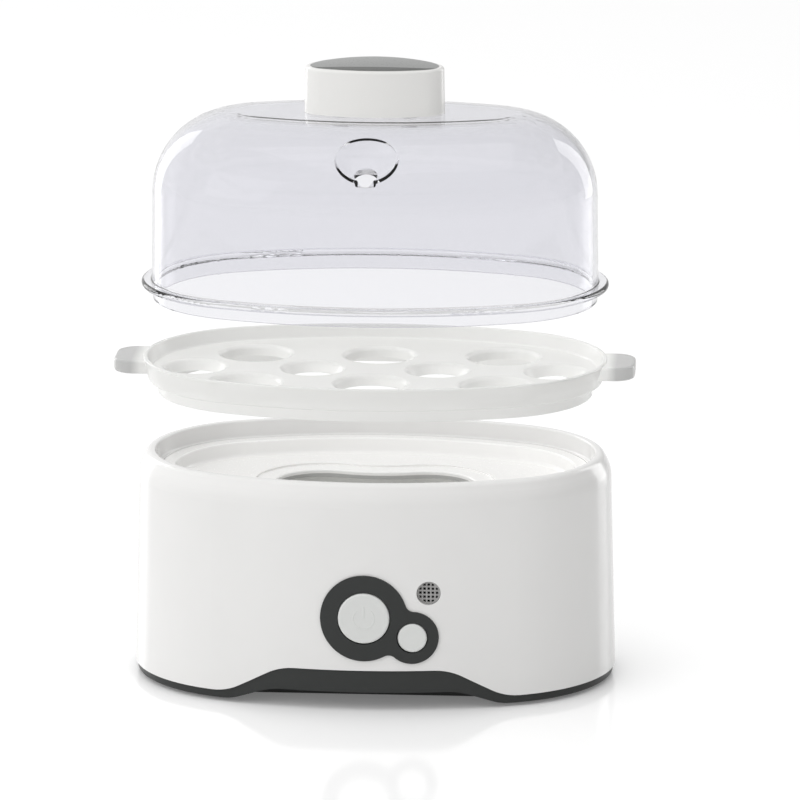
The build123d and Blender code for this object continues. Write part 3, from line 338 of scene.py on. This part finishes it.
def ribbon(name, path, width, front, proud):
    """Gives a mesh bar along a path of (x, z) points, standing proud of a face at y = front."""
    mesh = bmesh.new()
    rows = []
    for index, point in enumerate(path):
        before = path[max(index - 1, 0)]
        after = path[min(index + 1, len(path) - 1)]
        along = Vector((after[0] - before[0], after[1] - before[1])).normalized()
        side = Vector((-along.y, along.x)) * width * 0.5
        row = []
        for share, lift in RIBBON_SECTION:
            place = Vector(point) + side * share
            row.append(mesh.verts.new((place.x, front - lift * proud, place.y)))
        rows.append(row)
    for first, second in zip(rows, rows[1:]):
        for a, b in ((0, 1), (1, 2), (2, 3)):
            mesh.faces.new((first[a], first[b], second[b], second[a]))
    mesh.faces.new(rows[0])
    mesh.faces.new(list(reversed(rows[-1])))
    bmesh.ops.recalc_face_normals(mesh, faces=mesh.faces)
    data = bpy.data.meshes.new(name)
    mesh.to_mesh(data)
    mesh.free()
    return data


# Power mark: a broken ring and a bar raised on the large button
button_low, button_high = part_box("power_button")
button_x = (button_low.x + button_high.x) * 0.5
button_z = (button_low.z + button_high.z) * 0.5
sweep_angle = 2 * math.pi - 2 * MARK_GAP
ring_path = []
for step in range(MARK_STEPS + 1):
    angle = math.pi * 0.5 + MARK_GAP + sweep_angle * step / MARK_STEPS
    ring_path.append((button_x + MARK_RADIUS * math.cos(angle), button_z + MARK_RADIUS * math.sin(angle)))
bar_path = [(button_x, button_z + MARK_RADIUS * share) for share in (BAR_TOP_SHARE, BAR_FOOT_SHARE)]
for name, path in (("power_mark_ring", ring_path), ("power_mark_bar", bar_path)):
    mark = ribbon(name, path, MARK_WIDTH, button_low.y, MARK_PROUD)
    new_piece(name, mark, "power_button", BUTTON)

# Floor: white and faintly glossy, lifted a little where it is seen
floor_mesh = bpy.data.meshes.new("floor")
floor_turns = ((-1, -1), (1, -1), (1, 1), (-1, 1))
floor_corners = [(x * FLOOR_HALF, y * FLOOR_HALF, -FLOOR_DROP) for x, y in floor_turns]
floor_mesh.from_pydata(floor_corners, [], [(0, 1, 2, 3)])
floor = add_object("floor", floor_mesh)
floor_material, floor_tree, floor_shader = new_material("floor_white")
vary_colour(floor_tree, floor_shader, FLOOR_COLOUR, FLOOR_DRIFT, FLOOR_DRIFT_SCALE)
set_inputs(
    floor_shader,
    {
        "Roughness": FLOOR_ROUGHNESS,
        "IOR": FLOOR_IOR,
        "Emission Color": (1.0, 1.0, 1.0, 1.0),
    },
)
seen = floor_tree.nodes.new("ShaderNodeLightPath")
glow = floor_tree.nodes.new("ShaderNodeMath")
glow.operation = "MULTIPLY"
glow.inputs[1].default_value = FLOOR_GLOW
seen_total = seen.outputs["Is Camera Ray"]
for ray in ("Is Glossy Ray", "Is Transmission Ray"):
    either = floor_tree.nodes.new("ShaderNodeMath")
    either.operation = "MAXIMUM"
    floor_tree.links.new(seen_total, either.inputs[0])
    floor_tree.links.new(seen.outputs[ray], either.inputs[1])
    seen_total = either.outputs["Value"]
floor_tree.links.new(seen_total, glow.inputs[0])
floor_tree.links.new(glow.outputs["Value"], floor_shader.inputs["Emission Strength"])
floor_mesh.materials.append(floor_material)

# World: a white studio tent that falls off from left to right
world = bpy.data.worlds.new("studio")
world.use_nodes = True
world_tree = world.node_tree
background = world_tree.nodes["Background"]
background.inputs["Strength"].default_value = WORLD_STRENGTH
direction = world_tree.nodes.new("ShaderNodeTexCoord")
world_axes = world_tree.nodes.new("ShaderNodeSeparateXYZ")
falloff = world_tree.nodes.new("ShaderNodeMapRange")
falloff.interpolation_type = "SMOOTHSTEP"
set_inputs(
    falloff,
    {
        "From Min": -WORLD_FALL_END,
        "From Max": WORLD_FALL_END,
        "To Min": WORLD_LEFT,
        "To Max": WORLD_RIGHT,
    },
)
world_tree.links.new(direction.outputs["Generated"], world_axes.inputs["Vector"])
world_tree.links.new(world_axes.outputs["X"], falloff.inputs["Value"])
world_tree.links.new(falloff.outputs["Result"], background.inputs["Color"])
bpy.context.scene.world = world


def aim(thing, place, target):
    """Puts a lamp or camera at a place, looking at a target."""
    thing.location = place
    thing.rotation_euler = (Vector(target) - Vector(place)).to_track_quat("-Z", "Y").to_euler()


def area_light(name, place, target, size, power):
    """Adds a square soft lamp aimed at a point."""
    data = bpy.data.lights.new(name, "AREA")
    data.size = size
    data.energy = power
    light = add_object(name, data)
    aim(light, place, target)
    return light


# Soft lamps, kept out of reflections
for name, (place, size, power) in SOFT_LAMPS.items():
    area_light(name, place, LAMP_TARGET, size, power).visible_glossy = False

# Tall strips behind the object, which only gloss shows
for name, side in (("rim_left", -1.0), ("rim_right", 1.0)):
    place = (side * RIM_ASIDE, RIM_BEHIND, RIM_HEIGHT)
    strip = area_light(name, place, (0.0, 0.0, RIM_HEIGHT), RIM_WIDTH, RIM_POWER)
    strip.data.shape = "RECTANGLE"
    strip.data.size_y = RIM_TALL
    strip.visible_camera = False
    strip.visible_diffuse = False
    strip.visible_transmission = False

# Camera
toward = Vector(
    (
        math.sin(VIEW_AZIMUTH) * math.cos(VIEW_ELEVATION),
        -math.cos(VIEW_AZIMUTH) * math.cos(VIEW_ELEVATION),
        math.sin(VIEW_ELEVATION),
    )
)
camera_data = bpy.data.cameras.new("camera")
camera_data.sensor_width = SENSOR_WIDTH
camera_data.lens = SENSOR_WIDTH * CAMERA_DISTANCE / VIEW_WIDTH
camera_data.clip_end = CAMERA_REACH
camera = add_object("camera", camera_data)
aim(camera, VIEW_TARGET + toward * CAMERA_DISTANCE, VIEW_TARGET)
bpy.context.scene.camera = camera

bpy.context.scene.view_settings.view_transform = "Standard"
